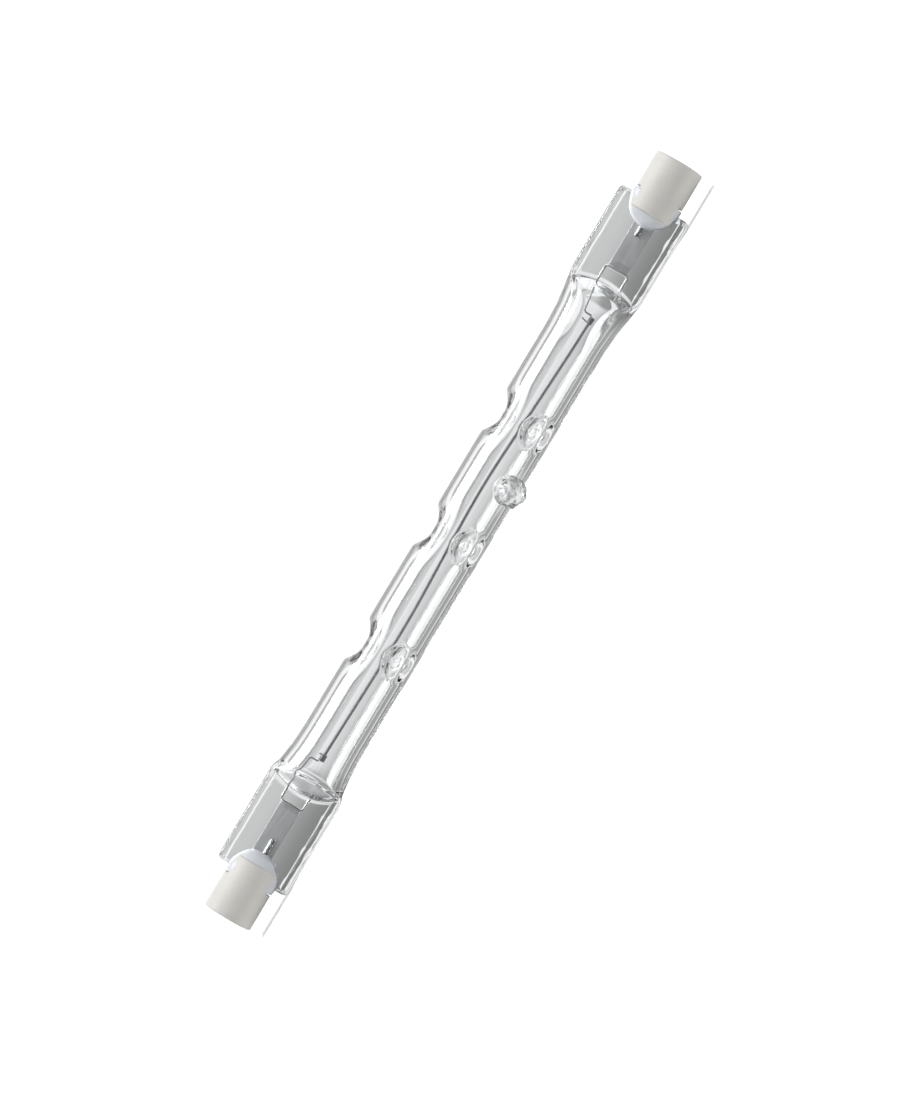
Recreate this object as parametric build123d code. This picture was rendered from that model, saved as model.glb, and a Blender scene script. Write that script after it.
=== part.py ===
from build123d import *
import math
import os

# Double-ended linear halogen lamp, 118 mm long, lying at rest.
#
# +X runs along the lamp from its left cap to its right cap and +Z is up.
# The origin is on the lamp's axis, halfway along it.
# The lamp is first drawn flat: V runs across the pinched plates, on the Y axis, and N
# stands square to them, on the Z axis. It is then rolled about X until one edge of each
# plate and the exhaust stub touch the ground, as the lamp comes to rest on a table.
# Each end is drawn on the +X side, and the left one is mirrored.

# Overall length, from cap end to cap end
LAMP_LENGTH = 117.6

# Fused quartz tube
TUBE_RADIUS = 4.4
TUBE_WALL = 1.0

# Pinched plates at the tube's ends
PLATE_WIDTH = 10.7
PLATE_THICKNESS = 3.0
PLATE_LENGTH = 15.2
PLATE_CORNER = 0.9
PLATE_GAP_IN_SLOT = 1.0
BEAD_WIDTH = 1.15
BEAD_RISE = 0.2
BEAD_ROUND = 0.45

# Shoulders, where the tube is squeezed from a circle down to the plate
SHOULDER_LENGTH = 5.9
SHOULDER_FLARE = 0.35
SHOULDER_FLARE_START = 0.35
SHOULDER_CROWN = 1.09
SHOULDER_ON_PLATE = 3.0
SHOULDER_SINK = 0.25
GAS_END_HALF_WIDTH = 3.5
GAS_END_HALF_DEPTH = 0.3
GAS_END_SETBACK = 0.7

# How each end differs, as both were pressed by hand: the seal's shift along and across
# the lamp, how far short of the plate the filament stops, and its place across the tube
LEFT_SEAL_OUT = -0.35
RIGHT_SEAL_OUT = 0.35
LEFT_SEAL_ACROSS = 0.35
RIGHT_SEAL_ACROSS = -0.2
LEFT_FILAMENT_STOP = 2.8
RIGHT_FILAMENT_STOP = 2.3
LEFT_FILAMENT_ACROSS = 0.0
RIGHT_FILAMENT_ACROSS = -0.65

# Dimples pressed into the tube with a blunt tool, whose bumps inside steady the filament
DIMPLE_STATIONS = 3
DIMPLE_SPACING = 17.85
DIMPLES_ROUND_TUBE = 3
DIMPLE_DEPTH = 1.46
DIMPLE_FOOT_RADIUS = 0.9
DIMPLE_MOUTH_RADIUS = 3.3
BUMP_GAP = 1.2
BUMP_RADIUS = 3.3

# Sealed-off exhaust stub on the side of the tube
TIP_POSITION = 9.4
TIP_ANGLE = 40.0
TIP_FOOT_RADIUS = 2.6
TIP_NECK_RADIUS = 2.05
TIP_SHOULDER_RADIUS = 1.75
TIP_PEAK_RADIUS = 0.5
TIP_SINK = 0.9
TIP_NECK_HEIGHT = 0.75
TIP_SHOULDER_HEIGHT = 2.25
TIP_HEIGHT = 3.0
TIP_BORE_RADIUS = 0.45
TIP_BORE_HEIGHT = 1.6

# Ceramic caps, their slots for the plates and their contact recesses
CAP_RADIUS = 3.5
CAP_LENGTH = 8.2
CAP_EDGE = 0.3
SLOT_DEPTH = 2.9
SLOT_CLEARANCE = 0.1
RECESS_RADIUS = 1.8
RECESS_DEPTH = 1.7

# Contact discs, each seated below the recess in its cap
CONTACT_RADIUS = 1.5
CONTACT_THICKNESS = 0.5
CONTACT_CLEARANCE = 0.05
LEAD_HOLE_CLEARANCE = 0.1

# Cement that holds each cap on its plate
CEMENT_RADIUS = 3.65
CEMENT_HEIGHT = 1.2
CEMENT_RIM = 0.4
CEMENT_SLOPE = 1.2
CEMENT_COLLAR = 0.25

# Molybdenum foils sealed in the plates
FOIL_WIDTH = 2.9
FOIL_LENGTH = 9.0
FOIL_THICKNESS = 0.04
FOIL_PAST_HOOK = 0.15

# Outer leads, which lie on the foils and run out to the contacts
OUTER_LEAD_RADIUS = 0.35
OUTER_LEAD_ON_FOIL = 3.7

# Inner leads, each with a hook that lies across its foil, drawn as thin many-sided wires
INNER_LEAD_RADIUS = 0.14
INNER_LEAD_SIDES = 8
HOOK_OUT_FROM_GAS = 2.2
HOOK_HALF_WIDTH = 1.7
LEAD_RISE = 1.5
LEAD_DROP = 0.22

# Filament coil, with a dense winding clamped over each end. Each bend has its place, as a
# share of the way from the middle to that end of the coil, and its sway across the tube
FILAMENT_RADIUS = 0.25
FILAMENT_BORE_RADIUS = 0.13
FILAMENT_BENDS = ((-0.36, -0.33), (0.28, 0.33), (0.6, -0.13))
CLAMP_LENGTH = 1.05
CLAMP_WIRE_RADIUS = 0.1
CLAMP_TAIL = 1.0
CLAMP_TAIL_LEAN = 14.0

# Places along the axis, measured out from the middle
cap_end = LAMP_LENGTH / 2
cap_inner = cap_end - CAP_LENGTH
slot_bottom = cap_inner + SLOT_DEPTH
plate_end = slot_bottom - PLATE_GAP_IN_SLOT
plate_start = plate_end - PLATE_LENGTH
contact_face = cap_end - RECESS_DEPTH
contact_back = contact_face - CONTACT_THICKNESS
tube_end = plate_start - SHOULDER_LENGTH
left_filament_end = plate_start - LEFT_FILAMENT_STOP
right_filament_end = plate_start - RIGHT_FILAMENT_STOP

# Distances from the axis
bore_radius = TUBE_RADIUS - TUBE_WALL
plate_half_width = PLATE_WIDTH / 2
plate_half_depth = PLATE_THICKNESS / 2 + BEAD_RISE
slot_half = plate_half_depth + SLOT_CLEARANCE
inner_lead_height = FOIL_THICKNESS / 2 + INNER_LEAD_RADIUS
outer_lead_height = FOIL_THICKNESS / 2 + OUTER_LEAD_RADIUS
clamp_radius = FILAMENT_RADIUS + 2 * CLAMP_WIRE_RADIUS


def rest_angle():
    """The roll, in degrees, that puts the plates' rounded edges and the exhaust stub on the ground.

    Rolled by a, the rounding of a plate's edge, of radius b about (-W, -T), reaches
    W sin a + T cos a + b below the axis, and the stub's shoulder, a circle of radius r at a
    height h along a line at an angle t from N, reaches r sin(t + a) - h cos(t + a) below it.
    The two are equal on the ground.
    """
    lean = math.radians(TIP_ANGLE)
    height = TUBE_RADIUS + TIP_SHOULDER_HEIGHT
    tip_across = TIP_SHOULDER_RADIUS * math.cos(lean) + height * math.sin(lean)
    tip_through = TIP_SHOULDER_RADIUS * math.sin(lean) - height * math.cos(lean)
    across = plate_half_width - BEAD_ROUND - tip_across
    through = plate_half_depth - BEAD_ROUND - tip_through
    turned = math.acos(-BEAD_ROUND / math.hypot(across, through))
    return math.degrees(turned + math.atan2(across, through))


def section_plane(x):
    """A plane square to the lamp at x, whose local x is V and local y is N."""
    return Plane(origin=(x, 0, 0), x_dir=(0, 1, 0), z_dir=(1, 0, 0))


def out_of_tube(x, angle):
    """A frame on the axis at x whose Z points out of the tube at an angle from N towards -V."""
    turn = math.radians(angle)
    return Plane(origin=(x, 0, 0), x_dir=(1, 0, 0), z_dir=(0, -math.sin(turn), math.cos(turn)))


def rod(x_start, x_end, radius):
    """A round bar on the lamp's axis."""
    return extrude(section_plane(x_start) * Circle(radius), x_end - x_start)


def squeezed_end(radius, end, half_width, half_depth):
    """The run from a round tube of this radius to a flat, bowed end.

    A bar about the lamp's axis, flared over its last part, is squeezed between jaws: two
    shallow cones about the N axis at the end of the tube. They leave a bowed line where they
    meet the plate.
    """
    reach = end - tube_end
    crown = radius * SHOULDER_CROWN
    flare_start = tube_end + reach * SHOULDER_FLARE_START
    flare = Polyline(
        (tube_end, 0), (tube_end, radius), (flare_start, radius), (end, half_width), (end, 0), close=True
    )
    jaws = Polyline((0, -crown), (reach, -half_depth), (reach, half_depth), (0, crown), close=True)
    squeezed = Pos(tube_end, 0, 0) * revolve(Plane.XZ * make_face(jaws), Axis.Z)
    return revolve(make_face(flare), Axis.X) & squeezed


def dimple_places():
    """The frame of every dimple, on the tube's axis and pointing out through it."""
    places = []
    for station in range(DIMPLE_STATIONS):
        x = (station - (DIMPLE_STATIONS - 1) / 2) * DIMPLE_SPACING
        for turn in range(DIMPLES_ROUND_TUBE):
            places.append(out_of_tube(x, -90 + turn * 360 / DIMPLES_ROUND_TUBE))
    return places


def blunt_cone(foot_radius, foot_height, mouth_radius, mouth_height):
    """A blunt cone on a dimple's own axis, carried on at the same slope out of the tube."""
    slope = (mouth_radius - foot_radius) / (mouth_height - foot_height)
    length = 2 * (mouth_height - foot_height)
    cone = Cone(foot_radius, foot_radius + slope * length, length)
    return Pos(0, 0, foot_height + length / 2) * cone


def bar_across(radius, height):
    """A round bar laid across the tube, its lowest line at this height above the axis."""
    return Pos(0, 0, height + radius) * Rot(X=90) * Cylinder(radius, 2 * TUBE_RADIUS)


def pinched_plate():
    """A flat plate with a thicker rounded bead along each edge and rounded corners."""
    web = Rectangle(PLATE_WIDTH - BEAD_WIDTH, PLATE_THICKNESS)
    bead = RectangleRounded(BEAD_WIDTH, 2 * plate_half_depth, BEAD_ROUND)
    bead_centre = plate_half_width - BEAD_WIDTH / 2
    section = web + Pos(bead_centre, 0) * bead + Pos(-bead_centre, 0) * bead
    plate = extrude(section_plane(plate_start) * section, PLATE_LENGTH)
    middle = Pos((plate_start + plate_end) / 2, 0, -plate_half_depth)
    outline = middle * RectangleRounded(PLATE_LENGTH, PLATE_WIDTH, PLATE_CORNER)
    return plate & extrude(outline, 2 * plate_half_depth)


def exhaust_tip():
    """The stub of the exhaust tube, melted shut to a blunt peak."""
    foot = TUBE_RADIUS - TIP_SINK
    top = TUBE_RADIUS + TIP_HEIGHT
    profile = Polyline(
        (0, 0, foot),
        (TIP_FOOT_RADIUS, 0, foot),
        (TIP_NECK_RADIUS, 0, TUBE_RADIUS + TIP_NECK_HEIGHT),
        (TIP_SHOULDER_RADIUS, 0, TUBE_RADIUS + TIP_SHOULDER_HEIGHT),
        (TIP_PEAK_RADIUS, 0, top),
        (0, 0, top),
        close=True,
    )
    return out_of_tube(TIP_POSITION, TIP_ANGLE) * revolve(make_face(profile), Axis.Z)


def tip_bore():
    """What is left of the exhaust hole, from the tube's bore up into the stub."""
    low = bore_radius - TIP_BORE_RADIUS
    high = TUBE_RADIUS + TIP_BORE_HEIGHT
    hole = Cylinder(TIP_BORE_RADIUS, high - low)
    return out_of_tube(TIP_POSITION, TIP_ANGLE) * Pos(0, 0, (low + high) / 2) * hole


def gas_end(seal_out):
    """Where the gas space stops, given how far out this end's seal lies."""
    return plate_start + SHOULDER_ON_PLATE + seal_out - GAS_END_SETBACK


def glass_outside():
    """The outer form of the quartz: tube, shoulders, plates, dimples and exhaust stub."""
    width = TUBE_RADIUS + SHOULDER_FLARE
    depth = PLATE_THICKNESS / 2 - SHOULDER_SINK
    body = rod(-tube_end, tube_end, TUBE_RADIUS)
    for seal_out, place in ((LEFT_SEAL_OUT, to_left), (RIGHT_SEAL_OUT, to_right)):
        shoulder_end = plate_start + SHOULDER_ON_PLATE + seal_out
        body += place(squeezed_end(TUBE_RADIUS, shoulder_end, width, depth))
        body += place(pinched_plate())
    for place in dimple_places():
        foot = TUBE_RADIUS - DIMPLE_DEPTH
        body -= place * blunt_cone(DIMPLE_FOOT_RADIUS, foot, DIMPLE_MOUTH_RADIUS, TUBE_RADIUS)
    return body + exhaust_tip()


def glass_inside():
    """The gas space: bore, flattened ends and exhaust hole, less the bumps under the dimples."""
    space = rod(-tube_end, tube_end, bore_radius)
    for seal_out, place in ((LEFT_SEAL_OUT, to_left), (RIGHT_SEAL_OUT, to_right)):
        end = squeezed_end(bore_radius, gas_end(seal_out), GAS_END_HALF_WIDTH, GAS_END_HALF_DEPTH)
        space += place(end)
    for place in dimple_places():
        space -= place * bar_across(BUMP_RADIUS, BUMP_GAP)
    return space + tip_bore()


def wire(points, section):
    """A wire of this section through a list of points, with its corners drawn sharp."""
    route = Polyline(*points)
    start = Plane(origin=route @ 0, z_dir=route % 0)
    return sweep(start * section, path=route, transition=Transition.RIGHT)


def hook_place(seal_out):
    """Where the inner lead's hook crosses its foil."""
    return gas_end(seal_out) + HOOK_OUT_FROM_GAS


def sealing_foil(seal_out, seal_across):
    """The thin foil inside a plate."""
    inner = hook_place(seal_out) - FOIL_PAST_HOOK
    return Pos(inner + FOIL_LENGTH / 2, seal_across, 0) * Box(FOIL_LENGTH, FOIL_WIDTH, FOIL_THICKNESS)


def outer_lead(seal_out):
    """The straight pin that lies on the foil and is welded to the back of the contact."""
    foil_end = hook_place(seal_out) - FOIL_PAST_HOOK + FOIL_LENGTH
    pin = rod(foil_end - OUTER_LEAD_ON_FOIL, contact_back, OUTER_LEAD_RADIUS)
    return Pos(0, 0, outer_lead_height) * pin


def inner_lead(seal_out, seal_across, filament_end, filament_across):
    """The wire from the filament to the foil.

    Its leg stands against the filament's end. It then rises to one side, runs out to the
    plate, and is hooked across the foil and back.
    """
    leg = filament_end + INNER_LEAD_RADIUS
    hook = hook_place(seal_out)
    high = seal_across + HOOK_HALF_WIDTH
    low = seal_across - HOOK_HALF_WIDTH
    points = [
        (leg, filament_across - LEAD_DROP, inner_lead_height),
        (leg, filament_across + LEAD_RISE, inner_lead_height),
        (hook - HOOK_OUT_FROM_GAS, high, inner_lead_height),
        (hook, high, inner_lead_height),
        (hook, low, inner_lead_height),
        (hook - HOOK_OUT_FROM_GAS, low, inner_lead_height),
    ]
    half_side = 180 / INNER_LEAD_SIDES
    section = Rot(Z=half_side) * RegularPolygon(INNER_LEAD_RADIUS, INNER_LEAD_SIDES, major_radius=False)
    return wire(points, section)


def filament_points():
    """Points of the coil's centre line, which sways a little between its ends."""
    points = [(-left_filament_end, LEFT_FILAMENT_ACROSS, inner_lead_height)]
    for share, across in FILAMENT_BENDS:
        end = left_filament_end if share < 0 else right_filament_end
        points.append((share * end, across, inner_lead_height))
    points.append((right_filament_end, RIGHT_FILAMENT_ACROSS, inner_lead_height))
    return points


def filament():
    """The coil, drawn as a fine tube of the coil's inside and outside sizes."""
    points = filament_points()
    return wire(points, Circle(FILAMENT_RADIUS)) - wire(points, Circle(FILAMENT_BORE_RADIUS))


def end_winding(part, outwards):
    """The dense winding over one end of the filament, with its wire's loose tail."""
    route = Polyline(*filament_points())
    place = Plane(origin=route @ part, x_dir=(0, 1, 0), z_dir=(route % part) * outwards)
    tail_foot = Pos(clamp_radius, 0, CLAMP_WIRE_RADIUS - CLAMP_LENGTH) * Rot(Y=90 - CLAMP_TAIL_LEAN)
    tail = tail_foot * Cylinder(CLAMP_WIRE_RADIUS, 2 * CLAMP_TAIL)
    sleeve = Pos(0, 0, -CLAMP_LENGTH / 2) * Cylinder(clamp_radius, CLAMP_LENGTH)
    core = Pos(0, 0, -CLAMP_LENGTH / 2) * Cylinder(FILAMENT_RADIUS, 2 * CLAMP_LENGTH)
    outer_tail = split(tail, Plane(origin=(FILAMENT_RADIUS, 0, 0), z_dir=(1, 0, 0)), keep=Keep.TOP)
    return place * (sleeve + outer_tail - core)


def cap_slot():
    """The space of the slot across a cap."""
    return Pos((cap_inner + slot_bottom) / 2, 0, 0) * Box(SLOT_DEPTH, 2 * CAP_RADIUS, 2 * slot_half)


def ceramic_cap():
    """A round cap with a slot for the plate, a lead hole, a contact seat and a recess."""
    body = rod(cap_inner, cap_end, CAP_RADIUS)
    body = chamfer(body.edges().group_by(Axis.X)[-1], CAP_EDGE)
    recess = rod(contact_face, cap_end, RECESS_RADIUS)
    seat = rod(contact_back, contact_face, CONTACT_RADIUS + CONTACT_CLEARANCE)
    lead_hole = rod(slot_bottom, contact_back, OUTER_LEAD_RADIUS + LEAD_HOLE_CLEARANCE)
    return body - cap_slot() - recess - seat - Pos(0, 0, outer_lead_height) * lead_hole


def contact():
    """The flat contact whose face is the bottom of the cap's recess."""
    return rod(contact_back, contact_face, CONTACT_RADIUS)


def cement_pad():
    """A round pad with sloped rims, through the plate and standing proud on both its faces."""
    face = PLATE_THICKNESS / 2
    top = face + CEMENT_HEIGHT
    half = Polyline(
        (0, 0),
        (CEMENT_RADIUS, 0),
        (CEMENT_RADIUS, face + CEMENT_RIM),
        (CEMENT_RADIUS - CEMENT_SLOPE, top),
        (0, top),
        close=True,
    )
    front = revolve(Plane.XZ * make_face(half), Axis.Z)
    return front + mirror(front, Plane.XY)


def cement(plate, cap, pin):
    """The cement: a pad on each face of the plate, joined through the cap's slot."""
    rim = Plane(origin=(plate_end + CEMENT_COLLAR, 0, 0), z_dir=(1, 0, 0))
    pad = split(Pos(plate_end, 0, 0) * cement_pad(), rim, keep=Keep.BOTTOM)
    fill = cap_slot() & rod(cap_inner, slot_bottom, CAP_RADIUS)
    return pad + fill - plate - cap - pin


def to_right(shape):
    """A shape drawn on the +X side, left as it is."""
    return shape


def to_left(shape):
    """A shape drawn on the +X side, mirrored to the -X side."""
    return mirror(shape, Plane.YZ)


def end_pieces(side, place, seal_out, seal_across, filament_end, filament_across):
    """Every piece of one end, by name."""
    foil = sealing_foil(seal_out, seal_across)
    pin = outer_lead(seal_out)
    wire = inner_lead(seal_out, seal_across, filament_end, filament_across)
    cap = ceramic_cap()
    pieces = {
        "sealing_foil": foil,
        "outer_lead": pin,
        "inner_lead": wire,
        "ceramic_cap": cap,
        "contact": contact(),
        "cap_cement": cement(pinched_plate(), cap, pin),
    }
    return {f"{name}_{side}": place(shape) for name, shape in pieces.items()}


def lamp_pieces():
    """Every piece of the lamp, by name, lying flat."""
    left = end_pieces(
        "left", to_left, LEFT_SEAL_OUT, LEFT_SEAL_ACROSS, left_filament_end, LEFT_FILAMENT_ACROSS
    )
    right = end_pieces(
        "right", to_right, RIGHT_SEAL_OUT, RIGHT_SEAL_ACROSS, right_filament_end, RIGHT_FILAMENT_ACROSS
    )
    pieces = {**left, **right}
    pieces["filament_coil"] = filament()
    pieces["filament_clamp_left"] = end_winding(0, -1)
    pieces["filament_clamp_right"] = end_winding(1, 1)
    sealed_in = ("sealing_foil", "outer_lead", "inner_lead")
    pockets = [piece for name, piece in pieces.items() if name.startswith(sealed_in)]
    pieces["quartz_envelope"] = glass_outside() - glass_inside() - pockets
    return pieces


os.makedirs("parts", exist_ok=True)
roll = Rot(X=rest_angle())
for name, piece in lamp_pieces().items():
    export_step(roll * piece, f"parts/{name}.step")
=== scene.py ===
"""A double-ended linear halogen lamp lying on a white table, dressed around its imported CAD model.

Every shape is worked out in the lamp's own directions: X along it, V across its pinched
plates and N square to them. world() then rolls it to the way it lies.
"""
import math

import bmesh
import bpy
import numpy as np
from mathutils import Matrix, Vector

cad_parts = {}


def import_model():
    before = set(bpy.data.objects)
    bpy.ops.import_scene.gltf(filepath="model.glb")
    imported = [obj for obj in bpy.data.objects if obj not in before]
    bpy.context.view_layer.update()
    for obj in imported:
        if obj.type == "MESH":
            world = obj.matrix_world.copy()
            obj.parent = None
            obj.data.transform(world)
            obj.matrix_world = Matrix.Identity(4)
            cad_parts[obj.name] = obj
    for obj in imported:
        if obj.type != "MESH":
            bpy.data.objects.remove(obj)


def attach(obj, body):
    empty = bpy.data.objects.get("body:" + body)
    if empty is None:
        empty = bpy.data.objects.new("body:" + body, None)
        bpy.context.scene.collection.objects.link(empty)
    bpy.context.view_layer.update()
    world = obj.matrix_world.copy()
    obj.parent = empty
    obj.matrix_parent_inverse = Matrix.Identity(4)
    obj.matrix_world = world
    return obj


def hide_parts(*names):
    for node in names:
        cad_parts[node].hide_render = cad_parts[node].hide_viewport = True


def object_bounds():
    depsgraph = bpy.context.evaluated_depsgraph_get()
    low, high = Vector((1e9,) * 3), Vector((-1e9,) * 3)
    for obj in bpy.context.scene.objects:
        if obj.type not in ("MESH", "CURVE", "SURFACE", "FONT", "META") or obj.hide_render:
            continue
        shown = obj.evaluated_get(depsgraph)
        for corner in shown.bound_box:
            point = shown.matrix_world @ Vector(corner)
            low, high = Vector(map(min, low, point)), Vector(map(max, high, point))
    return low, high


bl_info = {
    "name": "Linear halogen lamp",
    "version": (1, 0, 0),
    "blender": (4, 5, 0),
    "location": "View3D > Sidebar > Lamp",
    "description": "Builds a double-ended linear halogen lamp with a dimpled quartz tube",
    "category": "Add Mesh",
}

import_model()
cad_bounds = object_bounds()

MM = 0.001

# Quartz, in millimetres, as in the CAD model, but with the thicker wall that its rims show
TUBE_RADIUS = 4.4
BORE_RADIUS = 3.12
PLATE_HALF_WIDTH = 5.35
PLATE_HALF_DEPTH = 1.5
BEAD_WIDTH = 1.15
BEAD_RISE = 0.2
EDGE_ROUND = 0.5
PLATE_END = 52.5
# Half width through the shoulders, by the distance from the lamp's middle
SHOULDER_WIDTHS = {
    -1: ((31.4, 4.4), (34.0, 4.5), (36.2, 4.76), (37.0, 4.88), (37.7, 5.2), (38.3, 5.35)),
    1: ((31.8, 4.4), (35.0, 4.62), (37.6, 5.0), (38.6, 5.14), (39.4, 5.3), (40.2, 5.36)),
}
# Where the outline starts to turn from a circle to the plate's section, and over what length
SECTION_START = {-1: 36.3, 1: 37.6}
SECTION_TURN = 1.9
# The jaws' lines on the front and the back: place on the axis, and bow per square millimetre
PRESS_LINES = {
    "front": {-1: (39.6, 0.0625), 1: (40.0, 0.055)},
    "back": {-1: (39.05, 0.075), 1: (39.3, 0.05)},
}
BOW_SKEW = {-1: 0.0044, 1: -0.001}
# The left jaws press a flat sloped face, and the right ones a long rounded one, with its
# height over the plate and the distance over which it rises
LEFT_SLOPE = 1.35
RIGHT_OUTSIDE = (2.6, 2.6)
RIGHT_INSIDE = (2.9, 1.35)
FACE_SHARPNESS = 14.0
PRESS_FILLET = 0.18
GAS_END = {-1: 39.1, 1: 39.3}
GAS_BOW = 0.068
GAS_FILLET = 0.06
DIMPLE_STATIONS = (-17.85, 0.0, 17.85)
DIMPLE_ANGLES = (-89.0, 35.0, 150.0)
# Upper dimples: depth; flat foot, reach and softness along the tube; then round it, in degrees
PUSHED_OUTSIDE = (1.65, 0.9, 3.3, 0.12, 12.0, 50.0, 0.3)
PUSHED_INSIDE = (1.9, 0.2, 4.2, 0.4, 5.0, 55.0, 0.4)
# Lower dimples: height of the foot over the axis, its radius, the cone's slope, and softness
CUT_OUTSIDE = (3.1, 1.1, 0.75, 0.12)
CUT_INSIDE = (2.0, 1.15, 0.78, 0.12)
DIMPLE_UNEVENNESS = 0.05
TIP_POSITION = 9.4
TIP_ANGLE = 40.0
# The exhaust stub's shoulder and a plate's edge, on which the lamp rests: radius, and centre
STUB_SHOULDER = (1.75, 6.65)
RESTING_EDGE = (0.45, 4.9, 1.25)
# Steps of the grids along the lamp, and the stretches with the fine ones
FINE_STEP = 0.17
COARSE_STEP = 0.5
DIMPLE_STRETCH = 4.2
SHOULDER_STRETCH = (34.5, 41.5)
END_STRETCH = 1.4
TIP_STRETCH = 2.6
# The stub's radius and its cavity's, by the share of their height
STUB_PROFILE = (
    (0.0, 2.15), (0.2, 2.12), (0.42, 2.02), (0.7, 1.8), (0.86, 1.35), (0.95, 0.75), (1.0, 0.12),
)
BUBBLE_PROFILE = (
    (0.0, 0.3), (0.08, 1.05), (0.2, 1.35), (0.45, 1.3), (0.7, 1.0), (0.88, 0.55), (1.0, 0.08),
)
# Waves on them: height as a share of the radius, number round, turn over the length, and start
STUB_WAVES = ((0.05, 5, 4.0, 0.0), (0.035, 9, -9.0, 1.0), (0.025, 13, 17.0, 0.0))
BUBBLE_WAVES = ((0.1, 4, 5.0, 0.0), (0.07, 7, -8.0, 0.0), (0.04, 11, 12.0, 0.0))
OUTER_COLUMNS = 152
INNER_COLUMNS = 96

# Metal inside the quartz
WIRE_HEIGHT = 0.16
LEAD_RADIUS = 0.115
PIN_RADIUS = 0.35
PIN_HEIGHT = 0.37
PIN_ON_FOIL = 3.7
PIN_END = 56.6
FOIL_WIDTH = 2.9
FOIL_LENGTH = 9.0
FOIL_HALF_DEPTH = 0.02
FOIL_PAST_HOOK = 0.15
SEAL_ACROSS = {-1: 0.35, 1: -0.2}
HOOK_PLACE = {-1: 41.45, 1: 42.15}
HOOK_HALF_WIDTH = 1.7
HOOK_LENGTH = 2.2
# A lead's leg starts and bends at these distances across from the filament's end
LEG_FROM = 0.3
LEG_TO = 1.5
# Where the quartz has parted from the foil behind the hook: from and to, and bow of its end
PARTED = {-1: (41.68, 42.25, 0.03), 1: (42.42, 43.3, 0.1)}
PARTED_HALF_WIDTH = 1.5
PARTED_HALF_DEPTH = 0.09
PARTED_HEIGHT = 0.14
FILAMENT_END = {-1: 34.5, 1: 35.0}
WINDING_RADIUS = 0.345
WINDING_WIRE = 0.1
WINDING_PITCH = 0.2
TAIL_LENGTH = {-1: 0.45, 1: 1.05}
TAIL_LEAN = 14.0
FILAMENT_ACROSS = {-1: 0.0, 1: -0.65}
FILAMENT_BENDS = ((-12.42, -0.33), (9.8, 0.33), (21.0, -0.13))

# Ceramic caps
CAP_END = 58.8
CAP_INNER = 50.6
SLOT_BOTTOM = 53.5
CAP_RADIUS = 3.5
SLOT_HALF = 1.8
CAP_ROUND = 0.32
RECESS_RADIUS = 1.8
RECESS_DEPTH = 1.7
SEAT_RADIUS = 1.55
CONTACT_RADIUS = 1.5
CONTACT_DEPTH = 0.5
NEAR_AXIS = 0.02
WORN_EDGE = 0.12
CEMENT_RADIUS = 3.62
CEMENT_HEIGHT = 2.68
CEMENT_BEHIND = 0.75

SIDES = {-1: "left", 1: "right"}
EVEN = (1.0, 1.0, 1.0)
# Painted shade: the leads are the foils' metal darkened to this share of its colour
LEAD_PAINTED_SHADE = 0.42

# Greys of the studio that glass and metal see, by elevation in degrees
STUDIO_BANDS = (
    (-90.0, 0.3), (-8.0, 0.5), (-2.5, 0.78), (-0.7, 0.7), (1.5, 0.63), (2.8, 0.6), (3.6, 0.5),
    (4.3, 0.34), (5.0, 0.42), (5.6, 0.72), (6.5, 0.88), (8.6, 0.82), (10.2, 1.0), (41.0, 1.0),
    (46.0, 0.6), (52.0, 0.42), (61.0, 0.42), (67.0, 0.8), (90.0, 0.9),
)
# Greys of the light on plain surfaces, by elevation in degrees
SOFT_BANDS = ((-90.0, 0.7), (0.0, 0.62), (35.0, 0.74), (90.0, 0.8))
# Both are darker towards the front: the level there, and the stretch over which it changes
STUDIO_FRONT = (0.62, -0.8, -0.1)
SOFT_FRONT = (0.0, -0.3, 0.5)
SIDE_RANGE = (0.3, 0.45)
OFF_WHITE = (0.97, 0.97, 0.975, 1.0)
WHITE = (1.0, 1.0, 1.0, 1.0)
# Painted shadow and painted bright bands that glass sees on the table: greys by millimetres from
# the line under the lamp
SWEEP_REACH = 200.0
TUBE_PAINTED_SHADING = (
    (0.0, 0.35), (0.8, 0.4), (1.1, 0.95), (1.6, 0.95), (1.9, 0.2), (4.5, 0.15), (5.1, 1.0),
    (17.0, 1.0), (19.2, 0.34), (21.0, 0.42), (26.0, 0.55), (43.0, 0.66), (86.0, 0.84),
    (200.0, 0.86),
)
PLATE_PAINTED_SHADING = (
    (0.0, 0.16), (7.5, 0.2), (9.5, 0.9), (22.0, 0.9), (25.0, 0.23), (50.0, 0.27), (75.0, 0.33),
    (130.0, 0.54), (180.0, 0.6), (200.0, 0.6),
)
# How far out they change from the tube's to the plates', and then to white, and how much
# further inwards that is for each millimetre across
PLATE_FLOOR = (0.05, 34.0, 38.0)
SIDE_FLOOR = (0.072, 61.0, 66.0)
# Painted light: the pale grey under the exhaust stub that glass sees, its middle across the lamp,
# and its edge
STUB_PAINTED_LIGHT = 0.85
STUB_PAINTED_LIGHT_PLACE = -5.0
STUB_PAINTED_LIGHT_EDGE = (6.0, 4.0)
TABLE_GREY = 0.75
TABLE_LIFT = 0.38
TABLE_RADIUS = 6.0
# Painted shade on the quartz's outline, for the camera only: its share of the tint, and where it
# sets in, as Layer Weight's Facing
PAINTED_RIM_SHADE = 0.27
PAINTED_RIM_RANGE = (0.42, 0.56)
GLOSSY_BOUNCES = 12
SUN_LEVEL = 2.5
SUN_ANGLE = 25.0
SUN_LEAN = 12.0
# The lamp's lean in the picture, in degrees, and its middle's offset from the picture's
PICTURE_LEAN = 59.0
PICTURE_OFFSET = (-0.47, -0.82)


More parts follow.
